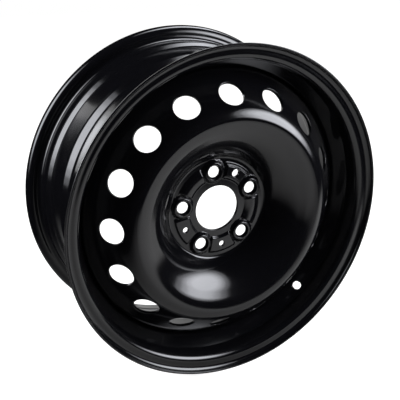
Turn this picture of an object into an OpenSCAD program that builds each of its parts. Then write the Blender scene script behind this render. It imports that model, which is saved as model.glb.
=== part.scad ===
// Pressed steel car wheel: a roll-formed rim, a pressed disc inside it and the weld beads between them.
// The wheel turns about the Y axis, with its outer face towards -Y and its hub face at Y = 0.

/* [Rim] */
// Diameter of the bead seats at the flanges
rim_d = 380.2; // [330:0.1:440]
// Width between the flanges
rim_w = 152.4; // [127:0.1:190]
// Thickness of the rim's sheet
rim_gauge = 2.4; // [1.8:0.1:3.2]
// Height of the flanges above the bead seats
flange_h = 17.3; // [16:0.1:20]
// Radius of the flange's curl on the tyre side
flange_r = 9.5; // [7:0.1:10]
// Fillet between the flange and the bead seat
heel_r = 6.5; // [3:0.1:6.5]
// Taper of the bead seats in degrees
seat_taper = 5; // [0:0.5:6]
// Width of the bead seats
seat_w = 18.2; // [16:0.1:21]
// Rise of the humps above the bead seats, before rounding
hump_h = 1.6; // [1:0.1:2]
// Width of each hump's side by the bead seat
hump_w = 3.5; // [3:0.1:5]
// Bend radius over the humps
hump_r = 3.5; // [2.5:0.1:4]

/* [Well] */
// Depth of the well below the bead seat diameter
well_depth = 13.1; // [11:0.1:18]
// Width of the well's floor between its corners
well_w = 41.5; // [36:0.5:48]
// Slope of the well's front side from the axis in degrees
well_front_slope = 38; // [30:1:50]
// Slope of the well's back side from the axis in degrees
well_back_slope = 30; // [25:1:45]
// Bend radius at the well's corners
well_r = 9; // [6:0.5:12]
// Height of the ledge's front edge above the well's floor
ledge_h = 6; // [4:0.1:8]
// Taper of the ledge in degrees
ledge_taper = 4.6; // [2:0.1:6]
// Width of the back hump's side by the ledge
hump_foot_w = 7.3; // [6:0.1:9]

/* [Valve hole] */
// Diameter of the valve hole
valve_d = 11.5; // [8:0.1:16]
// Distance of the valve hole from the hump's corner along the well's side
valve_reach = 12; // [10:0.1:13]
// Angle of the valve hole round the wheel
valve_angle = -47.5; // [-180:0.5:180]

/* [Disc] */
// Distance from the rim's middle out to the hub face
wheel_offset = 37; // [25:0.5:45]
// Thickness of the disc's sheet
disc_gauge = 3.8; // [3:0.1:4.5]
// Radius of the shoulder between the dome and the vent cone
shoulder_radius = 131.4; // [128:0.1:134]
// Height of the shoulder above the hub face
shoulder_h = 44.4; // [40:0.1:46]
// Radial distance from the shoulder in to the dome's ridge
ridge_gap = 9.2; // [8:0.1:11]
// Rise from the shoulder to the dome's ridge
ridge_rise = 2.9; // [2:0.1:3.5]
// Radial distance from the ridge in to the crown's corner
crown_gap = 10.5; // [10:0.1:13]
// Drop from the ridge to the crown's corner
crown_drop = 1.85; // [1.5:0.05:2.5]
// Radius of the bowl's foot
foot_radius = 66.3; // [65:0.1:68]
// Radial distance from the bowl's foot out to the bend of its wall
wall_gap = 16.3; // [15:0.1:17]
// Slope of the wall at the bowl's foot from the disc's plane in degrees
wall_slope = 56; // [52:0.5:58]
// Slope of the vent cone from the disc's plane in degrees
cone_slope = 46; // [40:1:50]
// Bend radius of the shoulder
shoulder_r = 23; // [15:0.5:24]
// Bend radius of the ridge
ridge_r = 10; // [8:0.5:11]
// Bend radius of the crown
crown_r = 40; // [30:1:42]
// Bend radius of the bowl's wall
wall_r = 84; // [60:1:88]
// Bend radius of the bowl's foot
foot_r = 5; // [4:0.1:7]
// Bend radius where the cone turns into the skirt
skirt_r = 14; // [8:0.5:18]
// Distance of the skirt's end behind the hub face
skirt_end = 28; // [22:0.5:34]
// Gap between the skirt and the rim, and under the weld beads
fit_gap = 0.05; // [0.03:0.01:0.1]

/* [Vents] */
// Number of vent holes
vent_count = 16; // [10:1:18]
// Diameter of the vent holes
vent_d = 31.5; // [24:0.5:34]
// Radius of the ring of vent holes
vent_ring_radius = 147.7; // [146:0.1:150]
// Angle of the first vent hole round the wheel
vent_angle = 110.6; // [0:0.1:180]

/* [Hub plate] */
// Diameter of the centre bore
bore_d = 58.1; // [54:0.1:60]
// Inner radius of the pressed pads between the bolts
pad_inner_radius = 37.5; // [36:0.1:42]
// Width of the land between the pads and the bowl's foot
land_w = 6.5; // [5:0.1:8]
// Rise of the flat pads above the hub plate
pad_rise = 2.4; // [1.5:0.1:3]
// Rise of the two arched pads above the hub plate
arch_rise = 3; // [2:0.1:3.5]
// Angle that each pad takes up round the wheel in degrees
pad_sweep = 40; // [34:0.5:42]
// Radial width of the sloped edges of the flat pads
ramp_w = 2.8; // [2:0.1:4]

/* [Bolt holes] */
// Number of bolt holes
bolt_count = 5; // [3:1:5]
// Diameter of the bolt circle
bolt_circle_d = 98; // [96:0.1:100]
// Diameter of the bolt holes
bolt_d = 14.5; // [12:0.1:15]
// Angle of the first bolt hole round the wheel
bolt_angle = 97.2; // [0:0.1:180]
// Diameter of the cone seats at their mouth
seat_d = 18.6; // [17:0.1:20]
// Included angle of the cone seats in degrees
seat_angle = 60; // [50:1:90]
// Diameter of the bosses at their top
boss_d = 23.6; // [22:0.1:25]
// Height of the bosses above the hub plate
boss_h = 5; // [3.5:0.1:5.5]
// Widening of each boss from its top to its foot, on the radius
boss_flare = 3.2; // [2:0.1:4]
// Depth of the hollow behind each boss
boss_hollow = 4; // [2.5:0.1:4.2]

/* [Locating holes] */
// Diameter of the two small locating holes
pin_d = 7.2; // [5:0.1:8]
// Diameter of the large locating hole
key_d = 10; // [8:0.1:11]
// Rise of the pad round the large locating hole
key_pad_h = 1.6; // [1:0.1:2]
// Radial width of the pad at its foot
key_pad_w = 16; // [14:0.1:16.4]
// Angle that the pad takes up round the wheel in degrees
key_pad_sweep = 33; // [26:1:34]

/* [Weld beads] */
// Number of weld beads
weld_count = 8; // [4:1:10]
// Angle that each bead takes up round the wheel in degrees
weld_sweep = 26; // [15:1:30]
// Leg of the beads along the rim
weld_leg = 4.5; // [3:0.1:6]
// Bulge of the beads above a straight face
weld_bulge = 0.45; // [0.2:0.05:0.8]

/* [Hidden] */
$fn = 96;

paint = [0.05, 0.05, 0.055];
weld_paint = [0.07, 0.07, 0.075];
// Straight steps along each bend of the sheet
bend_steps = 10;
// Overlap of a cutting tool past the face that it cuts
past = 1;

// Tyre-side radii of the rim
seat_radius = rim_d / 2;
flange_radius = seat_radius + flange_h;
well_radius = seat_radius - well_depth;
// Distances from the rim's middle along the axis
heel_at = rim_w / 2;
lip_at = heel_at + flange_r;
seat_end_at = heel_at - seat_w;
hump_at = seat_end_at - hump_w;
seat_end_radius = seat_radius - seat_w * tan(seat_taper);
hump_radius = seat_end_radius + hump_h;
well_front_at = hump_at - (hump_radius - well_radius) / tan(well_front_slope);
well_back_at = well_front_at - well_w;
ledge_at = well_back_at - ledge_h / tan(well_back_slope);
hump_foot_at = hump_foot_w - hump_at;
hump_foot_radius = well_radius + ledge_h + (ledge_at - hump_foot_at) * tan(ledge_taper);

// Tyre-side line of the rim from its front lip to its back lip: radius, distance from the middle, bend
rim_line = [
    [flange_radius, lip_at, 0],
    [flange_radius, heel_at, flange_r],
    [seat_radius, heel_at, heel_r],
    [seat_end_radius, seat_end_at, hump_r],
    [hump_radius, hump_at, hump_r],
    [well_radius, well_front_at, well_r],
    [well_radius, well_back_at, well_r],
    [well_radius + ledge_h, ledge_at, well_r],
    [hump_foot_radius, hump_foot_at, hump_r],
    [hump_radius, -hump_at, hump_r],
    [seat_end_radius, -seat_end_at, hump_r],
    [seat_radius, -heel_at, heel_r],
    [flange_radius, -heel_at, flange_r],
    [flange_radius, -lip_at, 0],
];

// Front faces of the hub plate and of its flat pads, outer radius of the pads, and corners of the dome
plate_face = disc_gauge;
pad_face = plate_face + pad_rise;
pad_outer_radius = foot_radius - land_w;
wall_radius = foot_radius + wall_gap;
wall_h = plate_face + wall_gap * tan(wall_slope);
ridge_radius = shoulder_radius - ridge_gap;
ridge_h = shoulder_h + ridge_rise;
crown_radius = ridge_radius - crown_gap;
crown_h = ridge_h - crown_drop;
skirt_radius = well_radius - rim_gauge - fit_gap;
skirt_turn = shoulder_h - (skirt_radius - shoulder_radius) * tan(cone_slope);

// Front line of the disc from the bore to the end of the skirt: radius, height above the hub face, bend
disc_line = [
    [bore_d / 2, plate_face, 0],
    [foot_radius, plate_face, foot_r],
    [wall_radius, wall_h, wall_r],
    [crown_radius, crown_h, crown_r],
    [ridge_radius, ridge_h, ridge_r],
    [shoulder_radius, shoulder_h, shoulder_r],
    [skirt_radius, skirt_turn, skirt_r],
    [skirt_radius, -skirt_end, 0],
];

// Places between bolts, counted clockwise from the large locating hole
flat_pads = [0, 2, 3];
arched_pads = [1, 4];

bolt_radius = bolt_circle_d / 2;
key_angle = bolt_angle - 180 / bolt_count;
// Material round the hollows behind the pads, and the angle that the hollows take up
pad_wall = disc_gauge / 2;
hollow_sweep = pad_sweep - 2 * pad_wall / bolt_radius * 180 / PI;
// Depth below a face at which an arched pad or its hollow starts, so that its edges cross the face
arch_root = pad_wall / 3;
boss_face = plate_face + boss_h;
boss_foot_d = boss_d + 2 * boss_flare;
boss_widening = 2 * boss_flare / boss_h;
seat_depth = (seat_d - bolt_d) / 2 / tan(seat_angle / 2);
vent_face = shoulder_h - (vent_ring_radius - shoulder_radius) * tan(cone_slope);
valve_radius = hump_radius - valve_reach * sin(well_front_slope);
valve_at = hump_at - valve_reach * cos(well_front_slope) - wheel_offset;

// Direction from one point of a line to the next
function heading(a, b) = [b[0] - a[0], b[1] - a[1]] / norm([b[0] - a[0], b[1] - a[1]]);

// A direction turned to its left
function left(u) = [-u[1], u[0]];

// A direction turned by an angle
function turned(u, angle) = [u[0] * cos(angle) - u[1] * sin(angle), u[0] * sin(angle) + u[1] * cos(angle)];

// Points round one bend of a line at corner b, moved to the left by shift
function bend(a, b, c, shift) =
    let (
        u = heading(a, b),
        v = heading(b, c),
        angle = atan2(u[0] * v[1] - u[1] * v[0], u[0] * v[0] + u[1] * v[1]),
        side = sign(angle),
        start = [b[0], b[1]] - u * b[2] * tan(abs(angle) / 2),
        centre = start + left(u) * side * b[2]
    )
    [for (k = [0:bend_steps]) centre - turned(left(u), angle * k / bend_steps) * (side * b[2] - shift)];

// A whole line of bends, moved to the left by shift
function side_line(line, shift) =
    let (last = len(line) - 1)
    concat(
        [[line[0][0], line[0][1]] + left(heading(line[0], line[1])) * shift],
        [for (i = [1:last - 1]) each bend(line[i - 1], line[i], line[i + 1], shift)],
        [[line[last][0], line[last][1]] + left(heading(line[last - 1], line[last])) * shift]
    );

function reversed(points) = [for (i = [len(points) - 1:-1:0]) points[i]];

// Section of a sheet with one face on the line and its thickness to the right of it
module sheet(line, gauge) {
    polygon(concat(side_line(line, 0), reversed(side_line(line, -gauge))));
}

// Turns the axis the parts are built on into the wheel's axis, with the outer face towards -Y
module on_axle() {
    rotate([90, 0, 0]) children();
}

// Copies spaced evenly round the wheel
module round_wheel(count, first) {
    for (i = [0:count - 1]) rotate(first + i * 360 / count) children();
}

// Copies at some of the places midway between bolts
module between_bolts(places) {
    for (i = places) rotate(key_angle - i * 360 / bolt_count) children();
}

module valve_hole() {
    rotate(valve_angle) translate([valve_radius, 0, valve_at]) rotate([0, well_front_slope - 90, 0])
        cylinder(d = valve_d, h = 8 * rim_gauge, center = true);
}

module rim() {
    color(paint) on_axle() difference() {
        translate([0, 0, -wheel_offset]) rotate_extrude() sheet(rim_line, rim_gauge);
        valve_hole();
    }
}

module vent_hole() {
    translate([vent_ring_radius, 0, vent_face]) rotate([0, cone_slope, 0])
        cylinder(d = vent_d, h = 6 * disc_gauge, center = true);
}

// Pressed boss round a bolt hole, before the hole is made. It starts inside the plate's thickness.
module boss() {
    root = disc_gauge / 2;
    translate([bolt_radius, 0, plate_face - root])
        cylinder(d1 = boss_foot_d + boss_widening * root, d2 = boss_d, h = boss_h + root);
}

// Hollow behind a boss, the bolt hole and its cone seat
module bolt_cut() {
    hollow_foot_d = boss_foot_d - disc_gauge;
    translate([bolt_radius, 0, 0]) {
        translate([0, 0, -past]) cylinder(d = bolt_d, h = boss_face + 2 * past);
        translate([0, 0, boss_face - seat_depth]) cylinder(d1 = bolt_d, d2 = seat_d, h = seat_depth);
        translate([0, 0, boss_face]) cylinder(d = seat_d, h = past);
        translate([0, 0, -past]) cylinder(
            d1 = hollow_foot_d + boss_widening * past,
            d2 = hollow_foot_d - boss_widening * boss_hollow,
            h = boss_hollow + past
        );
    }
}

// Block with sloped inner and outer edges that spans an angle round the wheel
module pad(inner, outer, slope, low, high, sweep) {
    rotate(-sweep / 2) rotate_extrude(angle = sweep) polygon([
        [inner, low], [outer, low], [outer - slope, high], [inner + slope, high]
    ]);
}

// Block with an arched top that spans an angle round the wheel. The arch starts below the level of its foot.
module arch(inner, outer, low, foot, sweep) {
    rotate(-sweep / 2) rotate_extrude(angle = sweep) polygon(concat(
        [[outer, low], [inner, low]],
        [for (k = [0:bend_steps]) let (t = k / bend_steps)
            [inner + (outer - inner) * t, foot - arch_root + (arch_rise + arch_root) * 4 * t * (1 - t)]]
    ));
}

// Pressed pads midway between two bolts. They start inside the plate's thickness.
module flat_pad() {
    pad(pad_inner_radius, pad_outer_radius, ramp_w, plate_face - pad_wall, pad_face, pad_sweep);
}

module arched_pad() {
    arch(pad_inner_radius, pad_outer_radius, plate_face - pad_wall, plate_face, pad_sweep);
}

// Hollows behind the pressed pads
module flat_pad_hollow() {
    pad(pad_inner_radius + pad_wall, pad_outer_radius - pad_wall, ramp_w, -past, pad_rise, hollow_sweep);
}

module arched_pad_hollow() {
    arch(pad_inner_radius + pad_wall, pad_outer_radius - pad_wall, -past, 0, hollow_sweep);
}

// Raised pad round the large locating hole
module key_pad() {
    pad(
        bolt_radius - key_pad_w / 2, bolt_radius + key_pad_w / 2, key_pad_h,
        pad_face - pad_wall, pad_face + key_pad_h, key_pad_sweep
    );
}

// Round hole through the hub plate on the bolt circle
module locating_hole(d) {
    translate([bolt_radius, 0, 0]) cylinder(d = d, h = 6 * disc_gauge, center = true);
}

module disc() {
    color(paint) on_axle() difference() {
        union() {
            rotate_extrude() sheet(disc_line, disc_gauge);
            round_wheel(bolt_count, bolt_angle) boss();
            between_bolts(flat_pads) flat_pad();
            between_bolts(arched_pads) arched_pad();
            rotate(key_angle) key_pad();
        }
        between_bolts(flat_pads) flat_pad_hollow();
        between_bolts(arched_pads) arched_pad_hollow();
        round_wheel(vent_count, vent_angle) vent_hole();
        round_wheel(bolt_count, bolt_angle) bolt_cut();
        between_bolts([flat_pads[0]]) locating_hole(key_d);
        between_bolts([flat_pads[1], flat_pads[2]]) locating_hole(pin_d);
    }
}

// Section of a weld bead in the corner between the skirt's end and the rim, with a bulging face
module bead_section() {
    throat = [skirt_radius - disc_gauge, -skirt_end - fit_gap];
    toe = [skirt_radius, -skirt_end - fit_gap - weld_leg];
    crown = (throat + toe) / 2 + left(heading(toe, throat)) * weld_bulge;
    polygon([[skirt_radius, throat[1]], throat, crown, toe]);
}

module weld_seams() {
    color(weld_paint) on_axle() round_wheel(weld_count, -weld_sweep / 2)
        rotate_extrude(angle = weld_sweep) bead_section();
}

rim();
disc();
weld_seams();
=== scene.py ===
"""Dresses a pressed steel wheel rim: a roll-formed rim, a domed disc and the weld beads between them.

Sizes are in millimetres until a mesh is written, and heights are measured along the axle, outwards from the
hub face. The wheel's axle is the Y axis, and its outer face looks along -Y.
"""

from __future__ import annotations

import logging
import math
from abc import ABC, abstractmethod
from dataclasses import dataclass, field
from enum import Enum
from typing import Callable, Optional

import bpy
import numpy as np
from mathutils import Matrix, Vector

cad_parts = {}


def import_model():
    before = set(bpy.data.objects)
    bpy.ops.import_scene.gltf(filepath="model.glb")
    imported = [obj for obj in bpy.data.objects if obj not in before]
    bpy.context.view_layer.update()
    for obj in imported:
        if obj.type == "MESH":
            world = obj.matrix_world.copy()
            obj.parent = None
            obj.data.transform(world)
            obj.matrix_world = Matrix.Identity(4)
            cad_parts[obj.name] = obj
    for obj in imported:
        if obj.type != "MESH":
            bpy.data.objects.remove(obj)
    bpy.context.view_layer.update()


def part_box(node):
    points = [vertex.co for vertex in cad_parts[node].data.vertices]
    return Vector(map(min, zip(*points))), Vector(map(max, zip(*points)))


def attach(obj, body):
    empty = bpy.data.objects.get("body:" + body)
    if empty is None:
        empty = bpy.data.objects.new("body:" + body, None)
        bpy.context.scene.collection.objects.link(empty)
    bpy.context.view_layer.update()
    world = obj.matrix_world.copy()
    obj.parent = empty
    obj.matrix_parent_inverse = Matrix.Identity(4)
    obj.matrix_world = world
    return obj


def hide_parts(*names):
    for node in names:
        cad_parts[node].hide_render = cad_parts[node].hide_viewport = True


LOG = logging.getLogger("wheel")
MM = 0.001
DAYLIGHT = "#f6f8ff"
WHITE = "#ffffff"
# Black of the sheets of painted shade that only reflections show
SHADE_BLACK = "#020202"

# Values that more than one piece follows
WHEEL_OFFSET = 37.0
RIM_GAUGE = 2.4
DISC_GAUGE = 3.8
WELL_RADIUS = 177.0
FIT_GAP = 0.05
SKIRT_RADIUS = WELL_RADIUS - RIM_GAUGE - FIT_GAP
SKIRT_END = 28.0


class Side(Enum):
    """The two faces of a sheet."""

    FACE = 1
    REAR = -1


@dataclass(frozen=True)
class Corner:
    """A corner of a sheet's section, with the radius of the bend there."""

    radius: float
    height: float
    bend: float = 0.0


def smooth_rise(value: np.ndarray) -> np.ndarray:
    """Eases from 0 to 1 while value goes from 0 to 1."""
    held = np.clip(value, 0.0, 1.0)
    return held * held * (3.0 - 2.0 * held)


class SectionLine:
    """The line that one face of a rolled or pressed sheet follows, with round bends at its corners."""

    def __init__(self, corners: list[Corner], bend_step: float, straight_step: float) -> None:
        """Samples the line.

        Args:
            corners: The corners from one end of the sheet to the other.
            bend_step: Largest turn between two samples, in degrees.
            straight_step: Largest distance between two samples, in mm.
        """
        self._samples: list[tuple[np.ndarray, np.ndarray]] = []
        spots = [np.array((corner.radius, corner.height)) for corner in corners]
        start = spots[0]
        for index in range(1, len(corners)):
            ahead = spots[index] - spots[index - 1]
            ahead = ahead / np.linalg.norm(ahead)
            turn, reach = 0.0, 0.0
            if index < len(corners) - 1:
                after = spots[index + 1] - spots[index]
                turn = math.atan2(ahead[0] * after[1] - ahead[1] * after[0], float(ahead @ after))
                reach = corners[index].bend * math.tan(abs(turn) / 2)
            end = spots[index] - ahead * reach
            self._add_straight(start, end, ahead, straight_step)
            start = self._add_bend(end, ahead, turn, corners[index].bend, bend_step)
        self.points, self.normals = (np.array(column) for column in zip(*self._samples))
        steps = np.linalg.norm(np.diff(self.points, axis=0), axis=1)
        self.runs = np.concatenate(([0.0], np.cumsum(steps)))

    def _add_straight(self, start: np.ndarray, end: np.ndarray, ahead: np.ndarray, step: float) -> None:
        """Adds the samples of a straight stretch with both its ends, or one sample if it has no length.

        Args:
            start: Where it starts.
            end: Where it ends.
            ahead: Its direction.
            step: Largest distance between two samples.
        """
        shortest = 1e-6
        length = float((end - start) @ ahead)
        count = math.ceil(length / step) if length > shortest else 0
        for k in range(count + 1):
            spot = start + (end - start) * k / max(count, 1)
            self._samples.append((spot, np.array((-ahead[1], ahead[0]))))

    def _add_bend(
        self, start: np.ndarray, ahead: np.ndarray, turn: float, bend: float, step: float
    ) -> np.ndarray:
        """Adds the samples inside a bend.

        Args:
            start: Where it starts.
            ahead: Direction of the line there.
            turn: Angle that it turns by to the left, in radians.
            bend: Its radius.
            step: Largest turn between two samples, in degrees.

        Returns:
            The point where it ends.
        """
        if bend == 0.0 or turn == 0.0:
            return start
        left = np.array((-ahead[1], ahead[0]))
        arm = math.copysign(bend, turn)
        centre = start + left * arm
        count = max(2, math.ceil(abs(math.degrees(turn)) / step))
        for k in range(1, count + 1):
            cos, sin = math.cos(turn * k / count), math.sin(turn * k / count)
            normal = np.array((left[0] * cos - left[1] * sin, left[0] * sin + left[1] * cos))
            if k < count:
                self._samples.append((centre - normal * arm, normal))
        return centre - normal * arm

    def mark(self, runs: list[float]) -> None:
        """Adds samples at places that have none yet.

        Args:
            runs: Distances of the places along the line.
        """
        near = 0.02
        fresh = [run for run in sorted(set(runs)) if np.min(np.abs(self.runs - run)) > near]
        if fresh:
            merged = np.sort(np.concatenate((self.runs, fresh)))
            self.points, self.normals = self.at(merged)
            self.runs = merged

    def at(self, runs: np.ndarray) -> tuple[np.ndarray, np.ndarray]:
        """Finds the points and normals at distances along the line.

        Args:
            runs: Distances from the line's start.

        Returns:
            Points and unit normals, as pairs of radius and height.
        """
        points = np.stack([np.interp(runs, self.runs, self.points[:, k]) for k in (0, 1)], axis=-1)
        normals = np.stack([np.interp(runs, self.runs, self.normals[:, k]) for k in (0, 1)], axis=-1)
        return points, normals / np.linalg.norm(normals, axis=-1, keepdims=True)

    def run_at_radius(self, radius: float, from_run: float = 0.0) -> float:
        """Finds where the line crosses a radius for the first time.

        Args:
            radius: The radius.
            from_run: Distance along the line from which to look.

        Returns:
            The distance along the line.
        """
        for k in range(len(self.runs) - 1):
            low, high = self.points[k, 0], self.points[k + 1, 0]
            if self.runs[k] >= from_run and min(low, high) <= radius <= max(low, high) and low != high:
                share = (radius - low) / (high - low)
                return float(self.runs[k] + share * (self.runs[k + 1] - self.runs[k]))
        raise ValueError(f"the line never reaches a radius of {radius}")


@dataclass(frozen=True)
class Hole:
    """A round hole through a sheet.

    Attributes:
        run: Distance of its centre along the sheet's line.
        angle: Its angle round the wheel in degrees.
        wall: Radius and share of the sheet's thickness, from the face to the rear.
        window: Half the length and half the width of the patch of sheet that is built round the hole.
    """

    run: float
    angle: float
    wall: tuple[tuple[float, float], ...]
    window: tuple[float, float]


def plain_wall(radius: float, gauge: float, edge: float) -> tuple[tuple[float, float], ...]:
    """Makes the wall of a pierced hole with both its edges rounded.

    Args:
        radius: Radius of the hole.
        gauge: Thickness of the sheet.
        edge: Radius of the rounded edges.

    Returns:
        Radius and share of the thickness at each step through the sheet.
    """
    turns = [math.radians(a) for a in (0, 30, 60, 90)]
    front = [(radius + edge * (1 - math.sin(a)), edge * (1 - math.cos(a)) / gauge) for a in turns]
    return tuple(front + [(r, 1 - share) for r, share in reversed(front)])


class MeshMaker:
    """Collects points, normals and faces for one mesh."""

    def __init__(self) -> None:
        """Starts empty."""
        self.points: list[np.ndarray] = []
        self.normals: list[np.ndarray] = []
        self.faces: list[np.ndarray] = []
        self.count = 0

    def add(self, points: np.ndarray, normals: np.ndarray) -> np.ndarray:
        """Adds points with their normals.

        Args:
            points: Points in mm, the last axis holding X, Y and Z.
            normals: Normals of the same shape.

        Returns:
            The points' numbers, in the shape of the points.
        """
        shape = points.shape[:-1]
        numbers = np.arange(self.count, self.count + int(np.prod(shape))).reshape(shape)
        self.points.append(points.reshape(-1, 3))
        self.normals.append(normals.reshape(-1, 3))
        self.count += numbers.size
        return numbers

    def skin(self, rows: np.ndarray, closed: bool, keep: Optional[np.ndarray] = None) -> None:
        """Adds the faces between rows of points.

        Args:
            rows: Numbers of the points, a row to a line.
            closed: Whether the rows run round and meet their start.
            keep: Which faces to make, all of them if it isn't given.
        """
        after = np.roll(rows, -1, axis=1) if closed else rows[:, 1:]
        here = rows if closed else rows[:, :-1]
        quads = np.stack((here[:-1], after[:-1], after[1:], here[1:]), axis=-1)
        self.faces.append(quads[keep] if keep is not None else quads.reshape(-1, 4))

    def build(self, name: str) -> bpy.types.Object:
        """Makes the mesh object.

        Args:
            name: Name of the piece.

        Returns:
            The new object, linked to the scene.
        """
        points = np.concatenate(self.points)
        normals = np.concatenate(self.normals)
        normals = normals / np.linalg.norm(normals, axis=1, keepdims=True)
        faces = np.concatenate(self.faces)
        corners = points[faces]
        across = np.cross(corners[:, 2] - corners[:, 0], corners[:, 3] - corners[:, 1])
        inside_out = np.einsum("ij,ij->i", across, normals[faces].sum(axis=1)) < 0
        faces[inside_out] = faces[inside_out][:, ::-1]
        mesh = bpy.data.meshes.new(name)
        mesh.from_pydata((points * MM).tolist(), [], faces.tolist())
        mesh.polygons.foreach_set("use_smooth", np.ones(len(faces), dtype=bool))
        mesh.normals_split_custom_set_from_vertices(normals.tolist())
        mesh.update()
        piece = bpy.data.objects.new(name, mesh)
        bpy.context.scene.collection.objects.link(piece)
        return piece


def to_world(radius: np.ndarray, angle: np.ndarray, height: np.ndarray) -> np.ndarray:
    """Turns a radius, an angle in radians and a height along the axle into X, Y and Z."""
    return np.stack((radius * np.cos(angle), -height, radius * np.sin(angle)), axis=-1)


Relief = Callable[[np.ndarray, np.ndarray], np.ndarray]


def no_relief(radius: np.ndarray, angle: np.ndarray) -> np.ndarray:
    """Leaves a sheet as it was turned."""
    return np.zeros(np.broadcast(radius, angle).shape)


@dataclass
class TurnedSheet:
    """A sheet turned round the axle, with holes and pressed relief.

    Attributes:
        line: The line that its face follows.
        gauge: Its thickness.
        columns: Number of divisions round the wheel.
        first_angle: Angle of the first division in degrees.
        edge: Radius of its rounded edges.
        holes: The holes through it.
        face_relief: Height pressed into the face at a radius and an angle.
        rear_relief: Height pressed into the rear at a radius and an angle.
        ring_count: Number of rings of faces between a hole and the edge of its patch.
        ring_ease: Power that draws the rings together towards the hole.
    """

    line: SectionLine
    gauge: float
    columns: int
    first_angle: float
    edge: float
    holes: list[Hole] = field(default_factory=list)
    face_relief: Relief = no_relief
    rear_relief: Relief = no_relief
    ring_count: int = 5
    ring_ease: float = 1.6

    def surface(self, side: Side, run: np.ndarray, angle: np.ndarray) -> tuple[np.ndarray, np.ndarray]:
        """Finds points on one of the sheet's faces.

        Args:
            side: Which face.
            run: Distances along the line.
            angle: Angles round the wheel in radians, of the same shape.

        Returns:
            Points in mm and unit normals.
        """
        section, normal = self.line.at(run)
        depth = 0.0 if side is Side.FACE else self.gauge
        relief = self.face_relief if side is Side.FACE else self.rear_relief
        radius = section[..., 0] - normal[..., 0] * depth
        height = section[..., 1] - normal[..., 1] * depth
        step, turn = 0.05, 0.001
        slope = (relief(radius + step, angle) - relief(radius - step, angle)) / (2 * step)
        lean = (relief(radius, angle + turn) - relief(radius, angle - turn)) / (2 * turn * radius)
        points = to_world(radius, angle, height + relief(radius, angle))
        out = normal[..., 0] - normal[..., 1] * slope
        along = -normal[..., 1] * lean
        up = normal[..., 1]
        cos, sin = np.cos(angle), np.sin(angle)
        normals = np.stack((out * cos - along * sin, -up, out * sin + along * cos), axis=-1)
        normals = normals / np.linalg.norm(normals, axis=-1, keepdims=True)
        return points, normals * side.value

    def circle(self, hole: Hole, radius: float, bearing: np.ndarray) -> tuple[np.ndarray, np.ndarray]:
        """Finds where a circle round a hole's axis lies on the sheet.

        Args:
            hole: The hole.
            radius: Radius of the circle.
            bearing: Angles round the hole's axis in radians, from the direction of the line.

        Returns:
            Distances along the line and angles round the wheel in radians.
        """
        (centre,), (normal,) = self.line.at(np.array([hole.run]))
        ahead = np.array((normal[1], -normal[0]))
        away = radius * np.cos(bearing)
        across = radius * np.sin(bearing)
        reach = centre[0] + away * ahead[0]
        radial = np.hypot(reach, across)
        run = hole.run + (radial - centre[0]) * ahead[0] + away * ahead[1] ** 2
        return run, math.radians(hole.angle) + np.arctan2(across, reach)

    def build(self, name: str) -> bpy.types.Object:
        """Makes the whole sheet as one closed mesh.

        Args:
            name: Name of the piece.

        Returns:
            The new object.
        """
        self.line.mark([hole.run + side * hole.window[0] for hole in self.holes for side in (-1, 1)])
        maker = MeshMaker()
        angles = math.radians(self.first_angle) + np.arange(self.columns) * 2 * math.pi / self.columns
        last = self.line.runs[-1]
        runs = self.line.runs[(self.line.runs > self.edge) & (self.line.runs < last - self.edge)]
        runs = np.concatenate(([self.edge], runs, [last - self.edge]))
        run_grid, angle_grid = np.meshgrid(runs, angles, indexing="ij")
        grids = {side: maker.add(*self.surface(side, run_grid, angle_grid)) for side in Side}
        keep = np.ones((len(runs) - 1, self.columns), dtype=bool)
        for hole in self.holes:
            self._build_hole(maker, hole, runs, angles, grids, keep)
        for side in Side:
            maker.skin(grids[side], True, keep)
        for end in (0, -1):
            self._build_edge(maker, grids, end, angles)
        return maker.build(name)

    def _build_edge(
        self, maker: MeshMaker, grids: dict[Side, np.ndarray], end: int, angles: np.ndarray
    ) -> None:
        """Closes one end of the sheet with a rounded edge.

        Args:
            maker: The mesh that is being made.
            grids: Numbers of the points on each face.
            end: 0 for the line's start and -1 for its end.
            angles: Angles of the columns in radians.
        """
        (point,), (normal,) = self.line.at(np.array([self.line.runs[end]]))
        outward = np.array((normal[1], -normal[0])) * (1 if end == -1 else -1)
        relief = [self.face_relief(np.full(len(angles), point[0]), angles)]
        relief.append(self.rear_relief(np.full(len(angles), point[0]), angles))
        rows = [grids[Side.FACE][end]]
        for depth, turns in ((self.edge, (30, 60, 90)), (self.gauge - self.edge, (90, 120, 150))):
            for turn in turns:
                lean, out = math.cos(math.radians(turn)), math.sin(math.radians(turn))
                spot = point - normal * (depth - self.edge * lean) - outward * self.edge * (1 - out)
                facing = normal * lean + outward * out
                share = depth / self.gauge
                height = spot[1] + relief[0] * (1 - share) + relief[1] * share
                flat = np.zeros(len(angles))
                points = to_world(flat + spot[0], angles, height)
                rows.append(maker.add(points, to_world(flat + facing[0], angles, flat + facing[1])))
        rows.append(grids[Side.REAR][end])
        maker.skin(np.array(rows), True)

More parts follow.
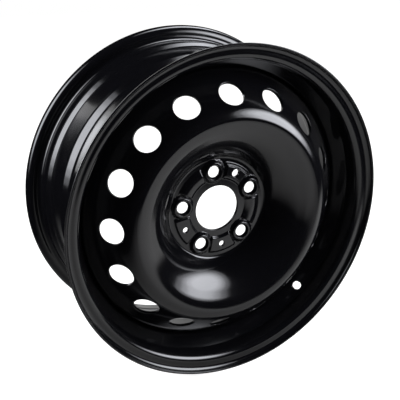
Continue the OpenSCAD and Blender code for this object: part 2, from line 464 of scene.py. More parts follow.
    def _build_hole(
        self,
        maker: MeshMaker,
        hole: Hole,
        runs: np.ndarray,
        angles: np.ndarray,
        grids: dict[Side, np.ndarray],
        keep: np.ndarray,
    ) -> None:
        """Makes a hole, its wall and the patch of sheet round it.

        Args:
            maker: The mesh that is being made.
            hole: The hole.
            runs: Distances of the rows along the line.
            angles: Angles of the columns in radians.
            grids: Numbers of the points on each face.
            keep: Faces of the grid to make. The hole clears those of its window.
        """
        (centre,), _ = self.line.at(np.array([hole.run]))
        pitch = 2 * math.pi / self.columns
        middle = (math.radians(hole.angle) - angles[0]) / pitch
        half = hole.window[1] / centre[0] / pitch
        slack = 1e-6
        low, high = math.ceil(middle - half - slack), math.floor(middle + half + slack)
        first = int(np.argmin(np.abs(runs - (hole.run - hole.window[0]))))
        final = int(np.argmin(np.abs(runs - (hole.run + hole.window[0]))))
        keep[first:final, np.arange(low, high) % self.columns] = False
        loop = [(first, j) for j in range(low, high)] + [(i, high) for i in range(first, final)]
        loop += [(final, j) for j in range(high, low, -1)] + [(i, low) for i in range(final, first, -1)]
        row = np.array([i for i, _ in loop])
        column = np.array([j for _, j in loop])
        from_run = runs[row]
        from_angle = angles[0] + column * pitch
        wrap = 2 * math.pi * np.round((np.median(from_angle) - math.radians(hole.angle)) / (2 * math.pi))
        bearing = np.arctan2((from_angle - math.radians(hole.angle) - wrap) * centre[0], from_run - hole.run)
        ends = {}
        for side, (radius, _) in ((Side.FACE, hole.wall[0]), (Side.REAR, hole.wall[-1])):
            to_run, to_angle = self.circle(hole, radius, bearing)
            to_angle = to_angle + wrap
            rows = [grids[side][row, column % self.columns]]
            for k in range(1, self.ring_count + 1):
                share = 1 - (1 - k / self.ring_count) ** self.ring_ease
                run = from_run + (to_run - from_run) * share
                angle = from_angle + (to_angle - from_angle) * share
                rows.append(maker.add(*self.surface(side, run, angle)))
            maker.skin(np.array(rows), True)
            ends[side] = rows[-1]
        self._build_wall(maker, hole, bearing, ends[Side.FACE], ends[Side.REAR])

    def _build_wall(
        self, maker: MeshMaker, hole: Hole, bearing: np.ndarray, mouth: np.ndarray, outlet: np.ndarray
    ) -> None:
        """Makes the wall of a hole from its mouth on the face to its outlet on the rear.

        Args:
            maker: The mesh that is being made.
            hole: The hole.
            bearing: Angles of the points round the hole's axis in radians.
            mouth: Numbers of the points round the mouth.
            outlet: Numbers of the points round the outlet.
        """
        rings = []
        for radius, share in hole.wall:
            place = self.circle(hole, radius, bearing)
            front, _ = self.surface(Side.FACE, *place)
            rear, _ = self.surface(Side.REAR, *place)
            rings.append(front + (rear - front) * share)
        rows = [mouth]
        for k in range(1, len(rings) - 1):
            through = rings[k + 1] - rings[k - 1]
            around = np.roll(rings[k], -1, axis=0) - np.roll(rings[k], 1, axis=0)
            normals = np.cross(through, around)
            inward = rings[k].mean(axis=0) - rings[k]
            flip = np.sign(np.einsum("ij,ij->i", normals, inward))
            rows.append(maker.add(rings[k], normals * flip[:, None]))
        rows.append(outlet)
        maker.skin(np.array(rows), True)


def linear(hex_colour: str) -> tuple[float, float, float, float]:
    """Turns an sRGB hex colour into linear light.

    Args:
        hex_colour: Six hex digits after a hash sign.

    Returns:
        Linear red, green and blue, and an alpha of 1.
    """
    parts = [int(hex_colour[k : k + 2], 16) / 255 for k in (1, 3, 5)]
    red, green, blue = (p / 12.92 if p <= 0.04045 else ((p + 0.055) / 1.055) ** 2.4 for p in parts)
    return red, green, blue, 1.0


def add_node(tree: bpy.types.NodeTree, kind: str, settings: dict, links: dict) -> bpy.types.Node:
    """Adds a node with its settings and links.

    Args:
        tree: The node tree.
        kind: The node's type name.
        settings: Values by attribute name, or by input name if the node has no such attribute.
        links: Output sockets by input name or number.

    Returns:
        The new node.
    """
    node = tree.nodes.new(kind)
    for name, value in settings.items():
        if hasattr(node, name):
            setattr(node, name, value)
        else:
            node.inputs[name].default_value = value
    for name, socket in links.items():
        tree.links.new(socket, node.inputs[name])
    return node


def new_material(name: str) -> tuple[bpy.types.Material, bpy.types.NodeTree]:
    """Starts a material with an empty node tree.

    Args:
        name: Name of the material.

    Returns:
        The material and its node tree.
    """
    material = bpy.data.materials.new(name)
    material.use_nodes = True
    material.node_tree.nodes.clear()
    return material, material.node_tree


@dataclass(frozen=True)
class GlossEnamel:
    """Stoved black enamel, dipped and sprayed over steel.

    Attributes:
        name: Name of the material.
        colour: Colour of the enamel.
        roughness: Least roughness of its surface.
        haze: How much the roughness grows in hazy places.
        haze_mm: Size of the hazy places.
        peel_mm: Spacing of the orange peel that the sprayed film dries with.
        peel_depth_mm: Depth of the orange peel.
        haze_band: Values of the noise between which the haze comes in.
        ior: Its refractive index.
    """

    name: str
    colour: str
    roughness: float
    haze: float
    haze_mm: float
    peel_mm: float
    peel_depth_mm: float
    haze_band: tuple[float, float] = (0.35, 0.75)
    ior: float = 1.5

    def make(self) -> bpy.types.Material:
        """Builds the material.

        Returns:
            The new material.
        """
        material, tree = new_material(self.name)
        low, high = self.haze_band
        most = self.roughness + self.haze
        place = add_node(tree, "ShaderNodeTexCoord", {}, {}).outputs["Object"]
        haze = add_node(
            tree, "ShaderNodeTexNoise", {"Scale": 1 / (self.haze_mm * MM), "Detail": 3.0}, {"Vector": place}
        )
        roughness = add_node(
            tree,
            "ShaderNodeMapRange",
            {"From Min": low, "From Max": high, "To Min": self.roughness, "To Max": most},
            {"Value": haze.outputs["Fac"]},
        )
        peel = add_node(
            tree, "ShaderNodeTexNoise", {"Scale": 1 / (self.peel_mm * MM), "Detail": 1.0}, {"Vector": place}
        )
        bump = add_node(
            tree, "ShaderNodeBump", {"Distance": self.peel_depth_mm * MM}, {"Height": peel.outputs["Fac"]}
        )
        shader = add_node(
            tree,
            "ShaderNodeBsdfPrincipled",
            {"Base Color": linear(self.colour), "IOR": self.ior},
            {"Roughness": roughness.outputs["Result"], "Normal": bump.outputs["Normal"]},
        )
        add_node(tree, "ShaderNodeOutputMaterial", {}, {"Surface": shader.outputs["BSDF"]})
        return material


# Sprayed and stoved enamel: deep black with clear reflections, a little softened by the film's orange peel
BLACK_ENAMEL = GlossEnamel(
    name="black_stoved_enamel",
    colour="#08080a",
    roughness=0.09,
    haze=0.05,
    haze_mm=60.0,
    peel_mm=2.2,
    peel_depth_mm=0.003,
)
# The same enamel over rough weld metal: thinner on the ripples, so it is duller
WELD_ENAMEL = GlossEnamel(
    name="enamel_over_weld",
    colour="#0d0d0f",
    roughness=0.30,
    haze=0.15,
    haze_mm=5.0,
    peel_mm=0.9,
    peel_depth_mm=0.03,
)


class Piece(ABC):
    """A piece of the wheel that stands for a node of the frame.

    Attributes:
        node: The node that it replaces.
        slot: The record's material slot that its finish is for. It is not used.
    """

    node: str
    slot: str

    @abstractmethod
    def build(self) -> bpy.types.Object:
        """Makes the piece's mesh."""

    def dress(self, piece: bpy.types.Object, material: bpy.types.Material) -> None:
        """Puts a finish on the mesh and lets it stand for its node.

        Args:
            piece: The object with the mesh.
            material: Its finish.
        """
        piece.data.materials.append(material)
        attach(piece, "root")
        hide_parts(self.node)


@dataclass
class Rim(Piece):
    """The roll-formed hoop that carries the tyre."""

    node: str = "rim"
    slot: str = "black_paint"
    columns: int = 320
    bend_step: float = 6.0
    straight_step: float = 14.0
    edge: float = 0.7
    seat_radius: float = 190.1
    flange_height: float = 17.3
    half_width: float = 76.2
    flange_bend: float = 9.5
    heel_bend: float = 6.5
    seat_taper: float = 5.0
    seat_width: float = 18.2
    hump_rise: float = 1.6
    hump_width: float = 3.5
    hump_bend: float = 3.5
    well_width: float = 41.5
    well_front_slope: float = 38.0
    well_back_slope: float = 30.0
    well_bend: float = 9.0
    ledge_height: float = 6.0
    ledge_taper: float = 4.6
    hump_foot: float = 7.3
    valve_diameter: float = 11.5
    valve_reach: float = 12.0
    valve_angle: float = -47.5
    valve_edge: float = 0.5
    valve_window: tuple[float, float] = (7.6, 11.0)

    def corners(self) -> list[Corner]:
        """Works out the corners of the tyre side.

        Returns:
            The corners from the front lip to the back lip.
        """
        lip = self.half_width + self.flange_bend
        flange = self.seat_radius + self.flange_height
        seat_end = self.seat_radius - self.seat_width * math.tan(math.radians(self.seat_taper))
        seat_end_at = self.half_width - self.seat_width
        hump = seat_end + self.hump_rise
        hump_at = seat_end_at - self.hump_width
        well_front = hump_at - (hump - WELL_RADIUS) / math.tan(math.radians(self.well_front_slope))
        well_back = well_front - self.well_width
        ledge = WELL_RADIUS + self.ledge_height
        ledge_at = well_back - self.ledge_height / math.tan(math.radians(self.well_back_slope))
        foot_at = self.hump_foot - hump_at
        foot = ledge + (ledge_at - foot_at) * math.tan(math.radians(self.ledge_taper))
        places = [
            (flange, lip, 0.0),
            (flange, self.half_width, self.flange_bend),
            (self.seat_radius, self.half_width, self.heel_bend),
            (seat_end, seat_end_at, self.hump_bend),
            (hump, hump_at, self.hump_bend),
            (WELL_RADIUS, well_front, self.well_bend),
            (WELL_RADIUS, well_back, self.well_bend),
            (ledge, ledge_at, self.well_bend),
            (foot, foot_at, self.hump_bend),
            (hump, -hump_at, self.hump_bend),
            (seat_end, -seat_end_at, self.hump_bend),
            (self.seat_radius, -self.half_width, self.heel_bend),
            (flange, -self.half_width, self.flange_bend),
            (flange, -lip, 0.0),
        ]
        return [Corner(radius, at - WHEEL_OFFSET, bend) for radius, at, bend in places]

    def build(self) -> bpy.types.Object:
        """Makes the rim's mesh.

        Returns:
            The new object.
        """
        corners = self.corners()
        line = SectionLine(corners, self.bend_step, self.straight_step)
        hump, well = corners[4], corners[5]
        slope = math.radians(self.well_front_slope)
        valve_radius = hump.radius - self.valve_reach * math.sin(slope)
        near_well = 1.0
        low_on_slope = line.run_at_radius(well.radius + near_well)
        from_hump = low_on_slope - (hump.radius - well.radius) / math.sin(slope)
        valve_run = line.run_at_radius(valve_radius, from_hump)
        wall = plain_wall(self.valve_diameter / 2, RIM_GAUGE, self.valve_edge)
        valve = Hole(valve_run, self.valve_angle, wall, self.valve_window)
        sheet = TurnedSheet(line, RIM_GAUGE, self.columns, 0.0, self.edge, [valve])
        return sheet.build("rolled_rim")


@dataclass(frozen=True)
class Boss:
    """A round boss pressed up from a sheet.

    Attributes:
        top: Radius at which its slope starts.
        foot: Radius at which its slope ends.
        rise: Its height.
    """

    top: float
    foot: float
    rise: float

    def height(self, away: np.ndarray) -> np.ndarray:
        """Gives its height at distances from its axis."""
        return self.rise * smooth_rise((self.foot - away) / (self.foot - self.top))


class PadTop(Enum):
    """Forms of a pad's top."""

    FLAT = "flat"
    ARCHED = "arched"


@dataclass(frozen=True)
class Pad:
    """A pad in the form of a ring's sector, pressed up from a sheet.

    Attributes:
        inner: Inner radius of its foot.
        outer: Outer radius of its foot.
        ramp: Width of its sloped edges.
        sweep: Angle that its foot takes up in degrees.
        rise: Its height.
        top: The form of its top.
        root: Depth below the sheet at which an arched top starts.
    """

    inner: float
    outer: float
    ramp: float
    sweep: float
    rise: float
    top: PadTop = PadTop.FLAT
    root: float = 0.0

    def height(self, radius: np.ndarray, turn: np.ndarray) -> np.ndarray:
        """Gives its height above the sheet.

        Args:
            radius: Radii of the places.
            turn: Turns of the places from its middle, in radians.

        Returns:
            Heights in mm.
        """
        wrapped = np.abs(turn - 2 * math.pi * np.round(turn / (2 * math.pi)))
        side = (math.radians(self.sweep / 2) - wrapped) * (self.inner + self.outer) / 2
        if self.top is PadTop.ARCHED:
            share = np.clip((radius - self.inner) / (self.outer - self.inner), 0.0, 1.0)
            lift = np.maximum((self.rise + self.root) * 4 * share * (1 - share) - self.root, 0.0)
        else:
            inner_edge = smooth_rise((radius - self.inner) / self.ramp)
            outer_edge = smooth_rise((self.outer - radius) / self.ramp)
            lift = self.rise * (inner_edge * outer_edge)
        return lift * smooth_rise(side / self.ramp)


@dataclass
class Disc(Piece):
    """The pressed disc with its hub plate, dome, vent holes and skirt.

    The steps of the bolt holes are distances out from the wall, and depths from the mouth, from the end of
    the cone seat and from the rear.
    """

    node: str = "disc"
    slot: str = "black_paint"
    columns: int = 336
    bend_step: float = 6.0
    straight_step: float = 8.0
    plate_step: float = 1.1
    vent_reach: float = 17.4
    vent_rows: int = 12
    gauge: float = DISC_GAUGE
    edge: float = 0.8
    bore_diameter: float = 58.1
    foot_radius: float = 66.3
    foot_bend: float = 5.0
    wall_gap: float = 16.3
    wall_slope: float = 56.0
    wall_bend: float = 84.0
    crown_gap: float = 10.5
    crown_drop: float = 1.85
    crown_bend: float = 40.0
    ridge_gap: float = 9.2
    ridge_rise: float = 2.9
    ridge_bend: float = 10.0
    shoulder_radius: float = 131.4
    shoulder_height: float = 44.4
    shoulder_bend: float = 23.0
    cone_slope: float = 46.0
    skirt_bend: float = 14.0
    vent_count: int = 16
    vent_diameter: float = 31.5
    vent_radius: float = 147.7
    vent_angle: float = 110.6
    vent_edge: float = 0.7
    bolt_count: int = 5
    bolt_radius: float = 49.0
    bolt_diameter: float = 14.5
    bolt_angle: float = 97.2
    bolt_window: tuple[float, float] = (12.0, 12.5)
    seat_diameter: float = 18.6
    seat_angle: float = 60.0
    mouth_steps: tuple[tuple[float, float], ...] = ((0.45, 0.0), (0.1, 0.08), (-0.1, 0.4), (-0.6, 1.25))
    cone_steps: tuple[tuple[float, float], ...] = ((0.45, -0.75), (0.05, -0.1), (0.0, 0.35))
    rear_steps: tuple[tuple[float, float], ...] = ((0.0, -0.4), (0.12, -0.12), (0.4, 0.0))
    boss: Boss = Boss(top=11.2, foot=15.6, rise=5.0)
    boss_hollow: Boss = Boss(top=9.9, foot=13.6, rise=4.0)
    flat_pad: Pad = Pad(inner=37.2, outer=60.1, ramp=3.4, sweep=41.0, rise=2.4)
    flat_hollow: Pad = Pad(inner=39.1, outer=58.2, ramp=3.4, sweep=36.5, rise=2.4)
    arched_pad: Pad = Pad(
        inner=37.5, outer=59.8, ramp=2.5, sweep=41.0, rise=3.0, top=PadTop.ARCHED, root=0.63
    )
    arched_hollow: Pad = Pad(
        inner=39.4, outer=57.9, ramp=2.5, sweep=36.5, rise=3.0, top=PadTop.ARCHED, root=0.63
    )
    key_pad: Pad = Pad(inner=41.4, outer=56.6, ramp=1.8, sweep=34.0, rise=1.6)
    arched_places: tuple[int, int] = (1, 4)
    key_place: int = 0
    key_diameter: float = 10.0
    pin_places: tuple[int, int] = (2, 3)
    pin_diameter: float = 7.2
    locating_edge: float = 0.6
    locating_margin: float = 2.6

    def corners(self) -> list[Corner]:
        """Works out the corners of the front face.

        Returns:
            The corners from the bore to the end of the skirt.
        """
        drop = (SKIRT_RADIUS - self.shoulder_radius) * math.tan(math.radians(self.cone_slope))
        wall_radius = self.foot_radius + self.wall_gap
        wall_height = self.gauge + self.wall_gap * math.tan(math.radians(self.wall_slope))
        ridge_radius = self.shoulder_radius - self.ridge_gap
        ridge_height = self.shoulder_height + self.ridge_rise
        return [
            Corner(self.bore_diameter / 2, self.gauge),
            Corner(self.foot_radius, self.gauge, self.foot_bend),
            Corner(wall_radius, wall_height, self.wall_bend),
            Corner(ridge_radius - self.crown_gap, ridge_height - self.crown_drop, self.crown_bend),
            Corner(ridge_radius, ridge_height, self.ridge_bend),
            Corner(self.shoulder_radius, self.shoulder_height, self.shoulder_bend),
            Corner(SKIRT_RADIUS, self.shoulder_height - drop, self.skirt_bend),
            Corner(SKIRT_RADIUS, -SKIRT_END),
        ]

    @property
    def bolt_angles(self) -> list[float]:
        """Angles of the bolt holes in degrees."""
        return [self.bolt_angle - k * 360 / self.bolt_count for k in range(self.bolt_count)]

    @property
    def pad_angles(self) -> list[float]:
        """Angles of the pads between the bolt holes in degrees."""
        return [bolt - 180 / self.bolt_count for bolt in self.bolt_angles]

    def _pressed(
        self, radius: np.ndarray, angle: np.ndarray, boss: Boss, flat_pad: Pad, arched_pad: Pad
    ) -> np.ndarray:
        """Gives the height of the bosses and pads on one face of the hub plate.

        Args:
            radius: Radii of the places.
            angle: Angles of the places in radians.
            boss: The boss at each bolt hole.
            flat_pad: The pad at each locating hole.
            arched_pad: The pad between the other bolt holes.

        Returns:
            Heights in mm.
        """
        total = np.zeros(np.broadcast(radius, angle).shape)
        for place, (bolt, middle) in enumerate(zip(self.bolt_angles, self.pad_angles)):
            reach = 2 * radius * self.bolt_radius * np.cos(angle - math.radians(bolt))
            away = np.sqrt(np.maximum(radius**2 + self.bolt_radius**2 - reach, 0))
            pad = arched_pad if place in self.arched_places else flat_pad
            total = np.maximum(total, boss.height(away))
            total = np.maximum(total, pad.height(radius, angle - math.radians(middle)))
        return total

    def face_relief(self, radius: np.ndarray, angle: np.ndarray) -> np.ndarray:
        """Gives the height that is pressed into the front of the hub plate.

        Args:
            radius: Radii of the places.
            angle: Angles of the places in radians.

        Returns:
            Heights in mm.
        """
        key_turn = angle - math.radians(self.pad_angles[self.key_place])
        total = self._pressed(radius, angle, self.boss, self.flat_pad, self.arched_pad)
        return total + self.key_pad.height(radius, key_turn)

    def rear_relief(self, radius: np.ndarray, angle: np.ndarray) -> np.ndarray:
        """Gives the height of the hollows behind the hub plate."""
        return self._pressed(radius, angle, self.boss_hollow, self.flat_hollow, self.arched_hollow)

    def seat_wall(self) -> tuple[tuple[float, float], ...]:
        """Makes the wall of a bolt hole: a rounded mouth, the cone seat, and a short cylinder behind it.

        Returns:
            Radius and share of the thickness at each step through the sheet.
        """
        depth = self.boss.rise + self.gauge - self.boss_hollow.rise
        mouth, bolt = self.seat_diameter / 2, self.bolt_diameter / 2
        seat = (mouth - bolt) / math.tan(math.radians(self.seat_angle / 2))
        stages = [(mouth, 0.0, self.mouth_steps), (bolt, seat, self.cone_steps)]
        stages.append((bolt, depth, self.rear_steps))
        return tuple((near + out, (start + at) / depth) for near, start, steps in stages for out, at in steps)

    def holes(self, line: SectionLine) -> list[Hole]:
        """Lists the holes through the disc.

        Args:
            line: The line of the disc's face.

        Returns:
            The vent holes, the bolt holes and the locating holes.
        """
        vent_run = line.run_at_radius(self.vent_radius)
        vent_wall = plain_wall(self.vent_diameter / 2, self.gauge, self.vent_edge)
        pitch = 2 * math.pi * self.vent_radius / self.vent_count
        window = (self.vent_reach, pitch / 2)
        turns = [self.vent_angle + k * 360 / self.vent_count for k in range(self.vent_count)]
        vents = [Hole(vent_run, turn, vent_wall, window) for turn in turns]
        bolt_run = line.run_at_radius(self.bolt_radius)
        bolts = [Hole(bolt_run, angle, self.seat_wall(), self.bolt_window) for angle in self.bolt_angles]
        locating = []
        spots = [(self.key_place, self.key_diameter)]
        spots += [(place, self.pin_diameter) for place in self.pin_places]
        for place, diameter in spots:
            wall = plain_wall(diameter / 2, self.gauge, self.locating_edge)
            reach = diameter / 2 + self.locating_margin
            locating.append(Hole(bolt_run, self.pad_angles[place], wall, (reach, reach)))
        return vents + bolts + locating

    def build(self) -> bpy.types.Object:
        """Makes the disc's mesh, with close rows on the hub plate and across the vent holes.

        Returns:
            The new object.
        """
        line = SectionLine(self.corners(), self.bend_step, self.straight_step)
        plate_end = self.flat_pad.outer - self.bore_diameter / 2
        line.mark(np.arange(self.plate_step, plate_end, self.plate_step).tolist())
        vent_run = line.run_at_radius(self.vent_radius)
        line.mark((vent_run + self.vent_reach * np.linspace(-1.0, 1.0, self.vent_rows + 1)).tolist())
        sheet = TurnedSheet(
            line=line,
            gauge=self.gauge,
            columns=self.columns,
            first_angle=self.vent_angle - 180 / self.vent_count,
            edge=self.edge,
            holes=self.holes(line),
            face_relief=self.face_relief,
            rear_relief=self.rear_relief,
        )
        return sheet.build("pressed_disc")


@dataclass
class WeldBeads(Piece):
    """The arc weld beads between the end of the skirt and the rim."""

    node: str = "weld_seams"
    slot: str = "painted_weld"
    count: int = 8
    sweep: float = 26.0
    leg: float = 4.5
    gauge: float = DISC_GAUGE
    throat_inset: float = 0.3
    bulge: float = 0.45
    ripple_mm: float = 2.4
    ripple_depth: float = 0.22
    ripple_trough: float = 0.3
    ripple_level: float = 0.35
    step_mm: float = 0.4
    section_steps: int = 8

    def build(self) -> bpy.types.Object:
        """Makes all the beads as one mesh.

        Returns:
            The new object.
        """
        maker = MeshMaker()
        length = math.radians(self.sweep) * SKIRT_RADIUS
        steps = round(length / self.step_mm)
        for k in range(self.count):
            start = math.radians(k * 360 / self.count - self.sweep / 2)
            self._bead(maker, start, math.radians(self.sweep), steps, length)
        return maker.build("weld_beads")

    def _bead(self, maker: MeshMaker, start: float, sweep: float, steps: int, length: float) -> None:
        """Adds one bead, with ripples along it and round ends.

        Args:
            maker: The mesh that is being made.
            start: Angle of its start in radians.
            sweep: Angle that it takes up in radians.
            steps: Number of divisions along it.
            length: Its length in mm.
        """
        share = np.arange(steps + 1) / steps
        along = share * length
        angle = start + share * sweep
        end = np.minimum(along, length - along)
        swell = np.sqrt(1 - (1 - np.clip(end / self.leg, 0.0, 1.0)) ** 2)
        phase = (along / self.ripple_mm) % 1.0
        ripple = self.ripple_depth * (np.abs(phase - self.ripple_trough) - self.ripple_level)
        corner = np.array((SKIRT_RADIUS, -SKIRT_END - FIT_GAP))
        throat = corner + np.array((-self.gauge + self.throat_inset, 0.0))
        toe = corner + np.array((0.0, -self.leg))
        turns = np.linspace(0.0, 1.0, self.section_steps + 1)
        slant = np.array((-(throat - toe)[1], (throat - toe)[0]))
        out = slant / np.linalg.norm(slant) * -1
        rows, facings = [], []
        for turn in turns:
            base = throat + (toe - throat) * turn
            arch = math.sin(math.pi * turn)
            lift = (self.bulge + ripple) * arch
            spot = corner + (base - corner) * swell[:, None] + out * lift[:, None] * swell[:, None]
            rows.append(to_world(spot[:, 0], angle, spot[:, 1]))
            facing = out + (toe - throat) / np.linalg.norm(toe - throat) * (turn - 0.5)
            flat = np.zeros(steps + 1)
            facings.append(to_world(flat + facing[0], angle, flat + facing[1]))
        rows.append(to_world(np.full(steps + 1, corner[0]), angle, np.full(steps + 1, corner[1])))
        facings.append(facings[0])
        points = np.array(rows)
        numbers = maker.add(points, np.array(facings))
        maker.skin(numbers, False)
        maker.skin(numbers[[-1, 0]], False)


def direction(azimuth: float, elevation: float) -> Vector:
    """Gives a direction in the studio.

    Args:
        azimuth: Degrees from straight in front of the wheel's face, towards +X.
        elevation: Degrees above the level.

    Returns:
        A unit vector.
    """
    turn, rise = math.radians(azimuth), math.radians(elevation)
    return Vector((math.sin(turn) * math.cos(rise), -math.cos(turn) * math.cos(rise), math.sin(rise)))


@dataclass(frozen=True)
class Softbox:
    """An oval soft lamp of the studio, which looks at the wheel and grows dimmer towards its edges.

    Attributes:
        name: Name of the lamp.
        azimuth: Its direction from the wheel, in degrees towards +X.
        elevation: Its direction from the wheel, in degrees above the level.
        spans: Width and height that it takes up as the wheel sees it, in degrees.
        radiance: Brightness of its middle, where 1 is white.
        distance: How far it stands from the wheel, in metres.
        layers: Size and share of the brightness of each of the panels that lie behind one another.
    """

    name: str
    azimuth: float
    elevation: float
    spans: tuple[float, float]
    radiance: float
    distance: float
    layers: tuple[tuple[float, float], ...] = ((0.65, 0.2), (0.85, 0.3), (1.05, 0.3), (1.3, 0.2))

    def make(self) -> None:
        """Builds the lamp's panels."""
        full = [2 * self.distance * math.tan(math.radians(span / 2)) for span in self.spans]
        towards = direction(self.azimuth, self.elevation)
        spacing = 0.01
        for row, (size, share) in enumerate(self.layers):
            width, height = full[0] * size, full[1] * size
            area = width * height * math.pi / 4
            lamp = bpy.data.lights.new(self.name, "AREA")
            lamp.shape = "ELLIPSE"
            lamp.size, lamp.size_y = width, height
            lamp.energy = self.radiance * share * math.pi * area
            lamp.color = linear(DAYLIGHT)[:3]
            panel = bpy.data.objects.new(self.name, lamp)
            panel.location = towards * (self.distance + spacing * row)
            panel.rotation_euler = (-towards).to_track_quat("-Z", "Y").to_euler()
            bpy.context.scene.collection.objects.link(panel)


def grid_faces(rows: int, columns: int) -> list[tuple[int, ...]]:
    """Lists the faces of a grid whose points are numbered row by row.

    Args:
        rows: Number of rows.
        columns: Number of points in a row.

    Returns:
        Numbers of the four points of each face.
    """
    starts = [row * columns + k for row in range(rows - 1) for k in range(columns - 1)]
    return [(start, start + 1, start + columns + 1, start + columns) for start in starts]


@dataclass(frozen=True)
class DarkReflectionSheet:
    """A black sheet that only reflections show: painted shade that keeps the white studio out of the paint's
    reflections.

    Attributes:
        name: Name of the sheet.
        azimuths: Where it starts and ends, in degrees towards +X.
        elevations: Where it starts and ends, in degrees above the level.
        distance: How far it hangs from the wheel, in metres.
    """

    name: str
    azimuths: tuple[float, float]
    elevations: tuple[float, float]
    distance: float = 3.0

    def make(self, shade_material: bpy.types.Material) -> None:
        """Hangs the sheet of painted shade.

        Args:
            shade_material: Its material.
        """
        step = 6.0
        turns = np.linspace(*self.azimuths, 1 + math.ceil((self.azimuths[1] - self.azimuths[0]) / step))
        rises = np.linspace(*self.elevations, 1 + math.ceil((self.elevations[1] - self.elevations[0]) / step))
        points = [direction(turn, rise) * self.distance for rise in rises for turn in turns]
        hang_for_mirrors(self.name, points, grid_faces(len(rises), len(turns)), shade_material)


def hang_for_mirrors(
    name: str, points: list[Vector], faces: list[tuple[int, ...]], shade_material: bpy.types.Material
) -> bpy.types.Object:
    """Adds a black sheet to the studio that only reflections show, as painted shade in them.

    Args:
        name: Name of the sheet.
        points: Its points in metres.
        faces: Its faces, as numbers of points.
        shade_material: Its material.

    Returns:
        The sheet.
    """
    mesh = bpy.data.meshes.new(name)
    mesh.from_pydata(points, [], faces)
    mesh.materials.append(shade_material)
    shade_sheet = bpy.data.objects.new(name, mesh)
    shade_sheet.visible_camera = shade_sheet.visible_diffuse = shade_sheet.visible_shadow = shade_sheet.visible_transmission = False
    bpy.context.scene.collection.objects.link(shade_sheet)
    return shade_sheet


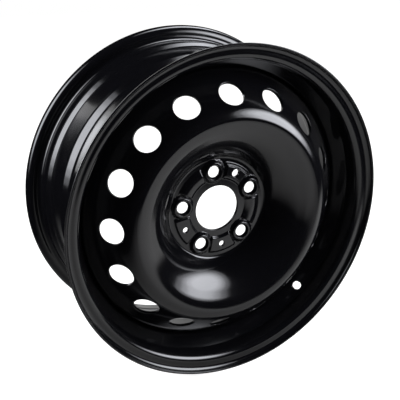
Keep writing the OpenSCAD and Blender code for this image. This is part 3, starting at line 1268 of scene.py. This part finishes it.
@dataclass
class Studio:
    """The pale floor, the lamps, the sheets of painted shade for the reflections, the backdrop and the
    camera, with lengths in metres.

    Attributes:
        floor_level: Height of the floor.
        floor_size: Length of the floor's sides.
        floor_glow: Light that the floor adds for the camera alone, where 1 is white.
        paper: Colour of the floor.
        fill_light: Strength of the world where it only lights the wheel.
        backdrop_light: Strength of the world where it is seen, where 1 is white.
        softboxes: The lamps.
        dark_reflection_sheets: The black sheets of painted shade round the wheel, which only reflections
            show.
        floor_shade_size: Length of the sides of the sheet of painted shade on the floor.
        floor_shade_step: Spacing of its points.
        floor_shade_lift: How far it lies above the floor.
        floor_shade_left: X at which the painted shade's left part has thinned to half.
        floor_shade_front: Y at which its front part has thinned to half, at an X of 0, and how that grows
            with X.
        floor_shade_fade: Length over which the left and the front part thin out.
        camera_place: Where the camera stands.
        camera_aim: Direction in which it looks.
        lens_mm: Focal length of its lens.
        sensor_mm: Width of its sensor.
        shift: Shift of its lens to the right and upwards, in widths of the picture.
    """

    floor_level: float
    floor_size: float = 8.0
    floor_glow: float = 0.84
    paper: str = "#abaaa7"
    fill_light: float = 0.5
    backdrop_light: float = 1.0
    softboxes: tuple[Softbox, ...] = (
        Softbox("right_softbox", 53.5, 23.0, (37.0, 42.0), 12.5, 0.8),
        Softbox("left_softbox", -96.0, 30.0, (26.0, 52.0), 11.0, 1.3),
        Softbox("top_softbox", 115.0, 62.0, (16.0, 46.0), 12.0, 1.2),
        Softbox("rear_softbox", -155.0, 11.4, (14.7, 24.6), 3.6, 1.0),
    )
    # Black sheets that only reflections show: painted shade in the enamel's reflections
    dark_reflection_sheets: tuple[DarkReflectionSheet, ...] = (
        DarkReflectionSheet("front_dark_reflection", (-152.0, 118.0), (-8.0, 38.0)),
        DarkReflectionSheet("sky_dark_reflection", (-180.0, 180.0), (38.0, 90.0)),
        DarkReflectionSheet("rear_dark_reflection", (118.0, 208.0), (26.7, 45.0), 1.0),
    )
    # Painted shade on the floor's mirror image, left of the wheel and in front of it
    floor_shade_size: float = 7.0
    floor_shade_step: float = 0.1
    floor_shade_lift: float = 0.001
    floor_shade_left: float = -0.22
    floor_shade_front: tuple[float, float] = (-0.736, 0.614)
    floor_shade_fade: tuple[float, float] = (0.4, 0.22)
    camera_place: tuple[float, float, float] = (-0.3870, -0.7290, 0.3231)
    camera_aim: tuple[float, float, float] = (0.4153, 0.8316, -0.3688)
    lens_mm: float = 64.02
    sensor_mm: float = 36.0
    shift: tuple[float, float] = (0.0019, 0.0253)

    def build(self) -> None:
        """Makes the floor, the lamps, the sheets of painted shade, the backdrop and the camera."""
        self._build_floor()
        for softbox in self.softboxes:
            softbox.make()
        self._hang_dark_reflections()
        self._build_backdrop()
        self._build_camera()

    def _hang_dark_reflections(self) -> None:
        """Hangs the sheets of painted shade round the wheel, and lays the painted shade on the floor left of
        the wheel and in front of it.
        """
        # Near-black and matt, seen only in reflections: painted shade, which the enamel mirrors as black
        shade_material, tree = new_material("painted_dark_reflection")
        shade_bsdf = add_node(tree, "ShaderNodeBsdfDiffuse", {"Color": linear(SHADE_BLACK)}, {})
        add_node(tree, "ShaderNodeOutputMaterial", {}, {"Surface": shade_bsdf.outputs["BSDF"]})
        for dark_sheet in self.dark_reflection_sheets:
            dark_sheet.make(shade_material)
        self._lay_floor_shade()

    def _lay_floor_shade(self) -> None:
        """Lays painted shade on the floor, left of the wheel and in front of it, that thins out to its edge
        and that only reflections show.
        """
        # Painted shade on the floor's mirror image: in the enamel it darkens the floor where it is strong and
        # lets it through where it is weak
        floor_shade_material, tree = new_material("painted_floor_shade")
        shade_amount = add_node(tree, "ShaderNodeAttribute", {"attribute_name": "shade_amount"}, {})
        unshaded_part = add_node(tree, "ShaderNodeBsdfTransparent", {}, {})
        shaded_part = add_node(tree, "ShaderNodeBsdfDiffuse", {"Color": linear(SHADE_BLACK)}, {})
        both = add_node(
            tree,
            "ShaderNodeMixShader",
            {},
            {0: shade_amount.outputs["Fac"], 1: unshaded_part.outputs["BSDF"], 2: shaded_part.outputs["BSDF"]},
        )
        add_node(tree, "ShaderNodeOutputMaterial", {}, {"Surface": both.outputs["Shader"]})
        count = round(self.floor_shade_size / self.floor_shade_step) + 1
        places = np.linspace(-self.floor_shade_size / 2, self.floor_shade_size / 2, count)
        x, y = (grid.ravel() for grid in np.meshgrid(places, places))
        level = self.floor_level + self.floor_shade_lift
        points = [Vector((float(a), float(b), level)) for a, b in zip(x, y)]
        shade_sheet = hang_for_mirrors("painted_floor_shade_sheet", points, grid_faces(count, count), floor_shade_material)
        # Strength of the painted shade: full left of the wheel and in front of it, none past the fade
        on_left = smooth_rise((self.floor_shade_left - x) / self.floor_shade_fade[0] + 0.5)
        in_front = smooth_rise((self.floor_shade_front[0] + self.floor_shade_front[1] * x - y) / self.floor_shade_fade[1] + 0.5)
        values = shade_sheet.data.attributes.new("shade_amount", "FLOAT", "POINT")
        values.data.foreach_set("value", np.maximum(on_left, in_front).astype(np.float32))

    def _build_floor(self) -> None:
        """Lays a pale floor under the wheel."""
        half = self.floor_size / 2
        mesh = bpy.data.meshes.new("studio_floor")
        ring = [(-half, -half), (half, -half), (half, half), (-half, half)]
        mesh.from_pydata([(x, y, self.floor_level) for x, y in ring], [], [(0, 1, 2, 3)])
        floor = bpy.data.objects.new("studio_floor", mesh)
        bpy.context.scene.collection.objects.link(floor)
        # Matt pale paper: it has no gloss, and it takes the wheel's shadow softly
        material, tree = new_material("pale_paper")
        path = add_node(tree, "ShaderNodeLightPath", {}, {})
        paper = add_node(tree, "ShaderNodeBsdfDiffuse", {"Color": linear(self.paper)}, {})
        strength = add_node(
            tree, "ShaderNodeMapRange", {"To Max": self.floor_glow}, {"Value": path.outputs["Is Camera Ray"]}
        )
        glow = add_node(
            tree, "ShaderNodeEmission", {"Color": linear(WHITE)}, {"Strength": strength.outputs["Result"]}
        )
        both = add_node(
            tree, "ShaderNodeAddShader", {}, {0: paper.outputs["BSDF"], 1: glow.outputs["Emission"]}
        )
        add_node(tree, "ShaderNodeOutputMaterial", {}, {"Surface": both.outputs["Shader"]})
        mesh.materials.append(material)

    @staticmethod
    def _seen(tree: bpy.types.NodeTree) -> bpy.types.NodeSocket:
        """Gives a socket that is 1 for camera, glossy and transmission rays, and 0 for the rest.

        Args:
            tree: The node tree.

        Returns:
            The socket.
        """
        path = add_node(tree, "ShaderNodeLightPath", {}, {})
        seen = path.outputs["Is Camera Ray"]
        for kind in ("Is Glossy Ray", "Is Transmission Ray"):
            settings = {"operation": "ADD", "use_clamp": True}
            seen = add_node(tree, "ShaderNodeMath", settings, {0: seen, 1: path.outputs[kind]}).outputs[0]
        return seen

    def _build_backdrop(self) -> None:
        """Makes the world white where it is seen, and dimmer where it only lights the wheel."""
        world = bpy.data.worlds.new("white_backdrop")
        bpy.context.scene.world = world
        world.use_nodes = True
        tree = world.node_tree
        tree.nodes.clear()
        limits = {"To Min": self.fill_light, "To Max": self.backdrop_light}
        strength = add_node(tree, "ShaderNodeMapRange", limits, {"Value": self._seen(tree)})
        back = add_node(
            tree, "ShaderNodeBackground", {"Color": linear(WHITE)}, {"Strength": strength.outputs["Result"]}
        )
        add_node(tree, "ShaderNodeOutputWorld", {}, {"Surface": back.outputs["Background"]})

    def _build_camera(self) -> None:
        """Sets the camera where the photograph was taken from."""
        lens = bpy.data.cameras.new("camera")
        lens.lens = self.lens_mm
        lens.sensor_width = self.sensor_mm
        lens.shift_x, lens.shift_y = self.shift
        camera = bpy.data.objects.new("camera", lens)
        camera.location = self.camera_place
        camera.rotation_euler = Vector(self.camera_aim).to_track_quat("-Z", "Y").to_euler()
        bpy.context.scene.collection.objects.link(camera)
        bpy.context.scene.camera = camera


def main() -> None:
    """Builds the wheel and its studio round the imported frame."""
    logging.basicConfig(level=logging.INFO, format="%(name)s: %(message)s")
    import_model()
    bpy.context.scene.view_settings.view_transform = "Standard"
    enamel = BLACK_ENAMEL.make()
    for part, finish in ((Rim(), enamel), (Disc(), enamel), (WeldBeads(), WELD_ENAMEL.make())):
        piece = part.build()
        part.dress(piece, finish)
        LOG.info("%s stands for %s with %d faces", piece.name, part.node, len(piece.data.polygons))
    Studio(floor_level=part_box("rim")[0].z).build()


if __name__ == "__main__":
    main()
